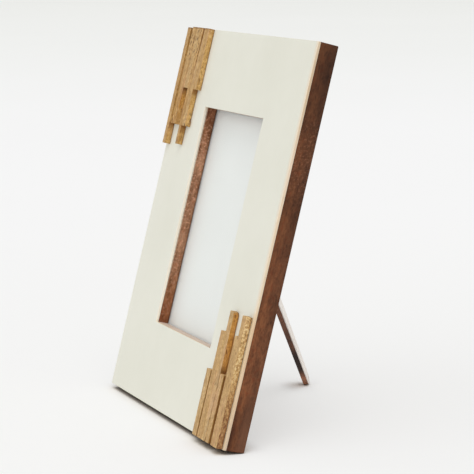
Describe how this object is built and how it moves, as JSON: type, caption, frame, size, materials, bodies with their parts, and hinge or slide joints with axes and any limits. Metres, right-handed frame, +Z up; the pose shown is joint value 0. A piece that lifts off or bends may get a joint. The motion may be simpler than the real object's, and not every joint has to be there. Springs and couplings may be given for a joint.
{
  "type": "picture frame",
  "caption": "Wooden table frame with a tall window, raised strips at two opposite corners and a folding easel leg, leaning back.",
  "frame": {"origin": "on the floor, in the middle of the box that the standing frame takes up", "axes": "+Z up, -Y towards the viewer of the picture, +X to the viewer's right; the frame leans back 14.15 degrees towards +Y"},
  "size_m": [0.2032, 0.137, 0.2507],
  "materials": {
    "brown_wood": "brown stained, mottled, satin",
    "cream_paint": "cream painted, matte",
    "tan_wood": "bare tan wood, lightly waxed",
    "board_wood": "pressed wood board, satin",
    "white_card": "matte paper card, which is cellulose",
    "clear_glass": "clear float glass",
    "brass": "brushed brass",
    "steel": "plain steel wire"
  },
  "bodies": {
    "frame": {"core": "brown_wood", "panel": "cream_paint", "glass": "clear_glass", "card": "white_card", "backing_board": "board_wood", "upper_strip_1": "tan_wood", "upper_strip_2": "tan_wood", "upper_strip_3": "tan_wood", "upper_strip_4": "tan_wood", "upper_strip_5": "tan_wood", "upper_strip_6": "tan_wood", "lower_strip_1": "tan_wood", "lower_strip_2": "tan_wood", "lower_strip_3": "tan_wood", "lower_strip_4": "tan_wood", "lower_strip_5": "tan_wood", "lower_strip_6": "tan_wood", "hinge_plate": "brass", "hinge_pin": "steel", "hinge_screws": "brass", "button_screws": "brass"},
    "leg": {"hinge_flap": "brass", "leg_core": "brown_wood", "leg_face": "cream_paint", "leg_screws": "brass"},
    "button_top_body": {"button_top": "brass"},
    "button_bottom_body": {"button_bottom": "brass"},
    "button_left_body": {"button_left": "brass"},
    "button_right_body": {"button_right": "brass"}
  },
  "joints": [
    {"name": "leg_fold", "type": "hinge", "parent": "frame", "child": "leg", "pos_m": [0.0348, -0.01736, 0.12342], "axis": [-0.7157, 0.1707, 0.6772], "range_deg": [0, 39]},
    {"name": "button_top_turn", "type": "hinge", "parent": "frame", "child": "button_top_body", "pos_m": [0, 0.00143, 0.20634], "axis": [0, 0.9697, -0.2445], "continuous": true},
    {"name": "button_bottom_turn", "type": "hinge", "parent": "frame", "child": "button_bottom_body", "pos_m": [0.024, -0.04013, 0.0415], "axis": [0, 0.9697, -0.2445], "continuous": true},
    {"name": "button_left_turn", "type": "hinge", "parent": "frame", "child": "button_left_body", "pos_m": [-0.059, -0.01483, 0.14186], "axis": [0, 0.9697, -0.2445], "continuous": true},
    {"name": "button_right_turn", "type": "hinge", "parent": "frame", "child": "button_right_body", "pos_m": [0.059, -0.0284, 0.08804], "axis": [0, 0.9697, -0.2445], "continuous": true}
  ]
}
